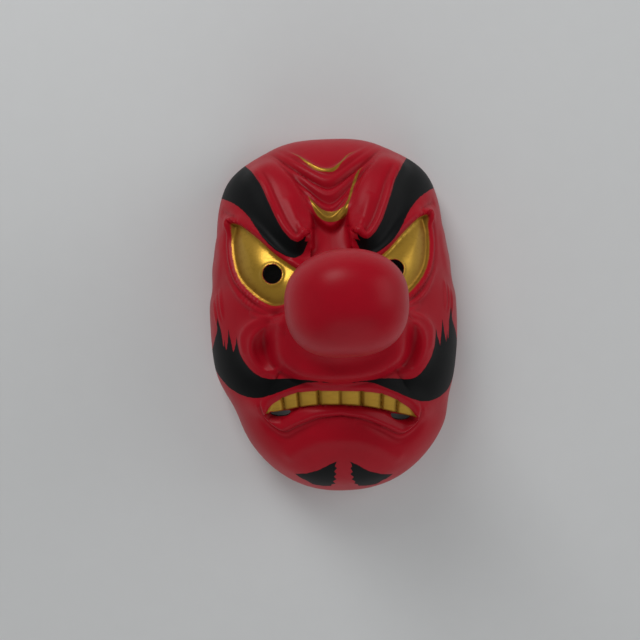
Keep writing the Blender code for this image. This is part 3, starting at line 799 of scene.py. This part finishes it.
def add_cutters(face, carved_grid):
    """The bars that bore the pupils, the slots under the last teeth and the holes for a tie."""
    size = face.size
    cutters = []
    for side in (1, -1):
        place = spot(carved_grid, side * PUPIL[0] * face.half_width, PUPIL[1] * face.half_length)
        bpy.ops.mesh.primitive_cylinder_add(
            vertices=48, radius=size.pupil_bore / 2, depth=0.05, location=place)
        cutters.append(bpy.context.active_object)
        place = spot(carved_grid, side * SLOT[0] * face.half_width, SLOT[1] * face.half_length)
        bpy.ops.mesh.primitive_cylinder_add(vertices=32, radius=0.5, depth=0.05, location=place)
        slot = bpy.context.active_object
        for corner in slot.data.vertices:
            corner.co.y = min(corner.co.y, 0.15)
        slot.scale = (size.slot_length, size.slot_height, 1)
        slot.rotation_euler = (0, 0, -side * math.radians(9) - math.atan(size.mouth_slant))
        cutters.append(slot)
        place = (side * face.half_width, sum(EAR_SPAN) / 2 * face.half_length, size.tie_height)
        bpy.ops.mesh.primitive_cylinder_add(
            vertices=24, radius=size.tie_bore / 2, depth=0.03, location=place,
            rotation=(0, math.pi / 2, 0))
        cutters.append(bpy.context.active_object)
    deselect_all()
    for cutter in cutters:
        cutter.select_set(True)
    bpy.context.view_layer.objects.active = cutters[0]
    bpy.ops.object.join()
    walls = cutters[0].data.polygons
    walls.foreach_set("material_index", np.ones(len(walls), dtype=np.int32))
    return cutters[0]


def cut_openings(face, shell, carved_grid):
    """Takes the openings out of the shell."""
    cutters = add_cutters(face, carved_grid)
    deselect_all()
    shell.select_set(True)
    bpy.context.view_layer.objects.active = shell
    opening = shell.modifiers.new("opening", 'BOOLEAN')
    opening.operation = 'DIFFERENCE'
    opening.solver = 'EXACT'
    opening.object = cutters
    bpy.ops.object.modifier_apply(modifier=opening.name)
    bpy.data.objects.remove(cutters, do_unlink=True)


class Value:
    """A shader value that takes part in plain arithmetic, which adds its Math nodes."""

    def __init__(self, finish, socket):
        self.finish = finish
        self.socket = socket

    def math(self, operation, first, second=0.5):
        return self.finish.node('ShaderNodeMath', {'operation': operation}, {0: first, 1: second})

    def __add__(self, other):
        return self.math('ADD', self, other)

    def __sub__(self, other):
        return self.math('SUBTRACT', self, other)

    def __rsub__(self, other):
        return self.math('SUBTRACT', other, self)

    def __mul__(self, other):
        return self.math('MULTIPLY', self, other)

    __radd__ = __add__
    __rmul__ = __mul__

    def least(self, other):
        return self.math('MINIMUM', self, other)

    def step(self, low, high):
        """A smooth step from 0 at low to 1 at high."""
        return self.finish.node('ShaderNodeMapRange', {'interpolation_type': 'SMOOTHSTEP'},
                                {'Value': self, 'From Min': low, 'From Max': high})


class Finish:
    """One material and the nodes that make it."""

    def __init__(self, name):
        self.material = bpy.data.materials.new(name)
        self.material.use_nodes = True
        self.tree = self.material.node_tree
        self.shader = self.tree.nodes["Principled BSDF"]
        self.place = self.node('ShaderNodeTexCoord', output='Object')

    def node(self, kind, settings=None, values=None, output=0):
        """Adds a node: its settings come first, then the values or links of its sockets."""
        node = self.tree.nodes.new(kind)
        for key, setting in (settings or {}).items():
            setattr(node, key, setting)
        for key, value in (values or {}).items():
            self.feed(node.inputs[key], value)
        return Value(self, node.outputs[output])

    def feed(self, socket, value):
        if isinstance(value, Value):
            self.tree.links.new(value.socket, socket)
        else:
            socket.default_value = value

    def set(self, **values):
        """Sets the shader's own sockets, whose names are written with underscores."""
        for key, value in values.items():
            self.feed(self.shader.inputs[key.replace("_", " ")], value)

    def attribute(self, name):
        return self.node('ShaderNodeAttribute', {'attribute_name': name}, output='Fac')

    def noise(self, scale, detail=3.0, roughness=0.5, stretch=(1, 1, 1)):
        place = self.node('ShaderNodeMapping', None, {'Vector': self.place, 'Scale': stretch})
        return self.node('ShaderNodeTexNoise', None,
                         {'Vector': place, 'Scale': scale, 'Detail': detail, 'Roughness': roughness})

    def mix(self, share, first, second):
        """A colour between two colours."""
        return self.node('ShaderNodeMix', {'data_type': 'RGBA'},
                         {0: share, 6: first, 7: second}, output=2)

    def bump(self, height, distance):
        return self.node('ShaderNodeBump', None,
                         {'Height': height, 'Distance': distance, 'Strength': 1.0})


def paint_skin(colours):
    """Satin red paint with the ink and the gold brushed over it, with painted shade darkening its
    creases.
    """
    skin = Finish("painted_skin")
    wobble = (skin.noise(260, 3) - 0.5) * 0.0009
    fine_wobble = (skin.noise(1400, 2) - 0.5) * 0.0003
    ink_depth = skin.attribute("ink") - FIELD_ZERO + wobble + fine_wobble
    ink = ink_depth.step(-0.00018, 0.00018)
    gold_depth = skin.attribute("gold") - FIELD_ZERO + wobble * 0.4 + fine_wobble
    gold = gold_depth.step(-0.00022, 0.00022) * (1 - ink)
    gold_shade_and_tone = skin.attribute("gold_shade_and_tone")
    cloudy = skin.noise(22, 4, 0.55)
    mottle = skin.noise(160, 4, 0.6)
    # Painted shade: the red darkens towards deep red in concave folds, found from the mesh's
    # pointiness; the cloudy and mottled tone is the paint's own
    hollow = skin.node('ShaderNodeNewGeometry', output='Pointiness')
    folds = 1 - hollow.step(0.455, 0.50)
    shade = (cloudy.step(0.35, 0.75) * 0.22 + mottle.step(0.4, 0.8) * 0.10 + folds * 0.55).least(1.0)
    red = skin.mix(shade, (*colours.red, 1), (*colours.deep_red, 1))
    brushed = skin.noise(420, 4, 0.6, stretch=(0.35, 1.0, 1.0))
    # The gold darkens with painted shade on the teeth and eyes, with the brow lines' own duller tone
    # and with its brushed grain
    gold_shade_and_grain = (gold_shade_and_tone * 0.9 + brushed.step(0.45, 0.8) * 0.25).least(1.0)
    gold_colour = skin.mix(gold_shade_and_grain, (*colours.gold, 1), (*colours.dark_gold, 1))
    base = skin.mix(gold, red, gold_colour)
    base = skin.mix(ink, base, (*colours.ink, 1))
    skin.set(Base_Color=base, Metallic=gold * 0.60,
             Roughness=(0.34 + mottle * 0.08) * (1 - gold) * (1 - ink) + gold * (0.28 + brushed * 0.14)
             + ink * 0.54)
    relief = skin.noise(900, 2) * 0.00003 + mottle * 0.00005 + ink * 0.00006 + gold * 0.00005
    skin.set(Normal=skin.bump(relief, 1.0), Specular_IOR_Level=0.13)
    return skin.material


def paint_inside(colours):
    """Bare dull plastic with a mist of red paint near the rim."""
    inside = Finish("bare_inside")
    grain = inside.noise(500, 4, 0.6)
    height = inside.node('ShaderNodeSeparateXYZ', None, {0: inside.place}, output='Z')
    mist = (1 - (height + (inside.noise(90, 4) - 0.5) * 0.012).step(0.0, 0.012)) * 0.8
    base = inside.mix(mist, (*colours.inside, 1), (*colours.deep_red, 1))
    inside.set(Base_Color=base, Roughness=0.62 + grain * 0.2, Normal=inside.bump(grain * 0.00008, 1.0))
    return inside.material


def photo_camera():
    """The camera over the lying mask, with the aim point on its pixel."""
    yaw, pitch, roll = map(math.radians, CAMERA_TURNS)
    camera = bpy.data.objects.new("camera", bpy.data.cameras.new("camera"))
    bpy.context.scene.collection.objects.link(camera)
    camera.data.lens = LENS
    camera.data.sensor_width = SENSOR
    focal = FRAME * LENS / SENSOR
    back = Vector((-math.sin(yaw) * math.cos(pitch), math.sin(pitch), math.cos(yaw) * math.cos(pitch)))
    level = Vector((0, 1, 0)).cross(back).normalized()
    upright = back.cross(level)
    right = math.cos(roll) * level + math.sin(roll) * upright
    up = -math.sin(roll) * level + math.cos(roll) * upright
    aside = (AIM_PIXEL[0] - FRAME / 2) / focal
    below = (AIM_PIXEL[1] - FRAME / 2) / focal
    centre = Vector(AIM_POINT) + CAMERA_DISTANCE * (back - aside * right + below * up)
    camera.matrix_world = Matrix.Translation(centre) @ Matrix((right, up, back)).transposed().to_4x4()
    bpy.context.scene.camera = camera


def soft_light(name, place, size, power, mirrored, aim):
    """A large square light that faces its aim and isn't seen itself, or not even in the gloss."""
    light = bpy.data.lights.new(name, 'AREA')
    light.shape, light.size, light.energy = 'SQUARE', size, power
    lamp = bpy.data.objects.new(name, light)
    lamp.location = place
    lamp.rotation_euler = (Vector(aim) - Vector(place)).to_track_quat('-Z', 'Y').to_euler()
    lamp.visible_camera = False
    lamp.visible_glossy = mirrored
    bpy.context.scene.collection.objects.link(lamp)


class MASK_OT_mould(bpy.types.Operator):
    """Mould the carved shell, bore its openings and paint it"""
    bl_idname = "mask.mould"
    bl_label = "Mask"

    def execute(self, context):
        face = Face(context.scene.mask_sizes)
        shell, ring, outer_count, carved_grid = mould_shell(face)
        colours = context.scene.mask_colours
        shell.data.materials.append(paint_skin(colours))
        shell.data.materials.append(paint_inside(colours))
        inner = ring > outer_count + 1
        faces = np.array([inner[list(polygon.vertices)].all() for polygon in shell.data.polygons])
        shell.data.polygons.foreach_set("material_index", faces.astype(np.int32))
        cut_openings(face, shell, carved_grid)
        deselect_all()
        shell.select_set(True)
        context.view_layer.objects.active = shell
        bpy.ops.object.shade_smooth_by_angle(angle=math.radians(42))
        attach(shell, "root")
        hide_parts("mask")
        return {'FINISHED'}


class MASK_OT_stage(bpy.types.Operator):
    """Set the pale floor, the soft light and the camera"""
    bl_idname = "mask.stage"
    bl_label = "Stage"

    def execute(self, context):
        deselect_all()
        bpy.ops.mesh.primitive_plane_add(size=6, location=(0, 0, -0.0005))
        floor = context.active_object
        floor.name = "floor"
        paper = Finish("floor_paper")
        grain = paper.noise(60, 5, 0.6)
        tone = (*context.scene.mask_colours.floor, 1)
        paper.set(Base_Color=paper.mix(grain * 0.12, tone, (0.5, 0.5, 0.5, 1)), Roughness=0.8)
        floor.data.materials.append(paper.material)
        world = bpy.data.worlds.new("studio")
        world.use_nodes = True
        sky = world.node_tree.nodes["Background"]
        sky.inputs["Color"].default_value = (1, 1, 1, 1)
        sky.inputs["Strength"].default_value = SKY_STRENGTH
        context.scene.world = world
        context.scene.view_settings.view_transform = 'Standard'
        for lamp in LAMPS:
            soft_light(*lamp, aim=(0, 0, 0.05))
        soft_light("light_inside", (0, -0.066, 0.030), 0.03, 0.0024, True, aim=(0, -0.066, 0))
        photo_camera()
        return {'FINISHED'}


class MASK_PT_sidebar(bpy.types.Panel):
    """Lists the steps, the sizes and the colours"""
    bl_label = "Tengu Mask"
    bl_space_type = 'VIEW_3D'
    bl_region_type = 'UI'
    bl_category = "Tengu Mask"

    def draw(self, context):
        layout = self.layout
        for step in (MASK_OT_mould, MASK_OT_stage):
            layout.operator(step.bl_idname)
        for group in (context.scene.mask_sizes, context.scene.mask_colours):
            column = layout.column()
            for name in group.__annotations__:
                column.prop(group, name)


CLASSES = (MaskSizes, MaskColours, MASK_OT_mould, MASK_OT_stage, MASK_PT_sidebar)


def register():
    for kind in CLASSES:
        bpy.utils.register_class(kind)
    bpy.types.Scene.mask_sizes = bpy.props.PointerProperty(type=MaskSizes)
    bpy.types.Scene.mask_colours = bpy.props.PointerProperty(type=MaskColours)


def unregister():
    del bpy.types.Scene.mask_sizes, bpy.types.Scene.mask_colours
    for kind in reversed(CLASSES):
        bpy.utils.unregister_class(kind)


def main():
    register()
    bpy.ops.mask.mould()
    bpy.ops.mask.stage()


if __name__ == "__main__":
    main()
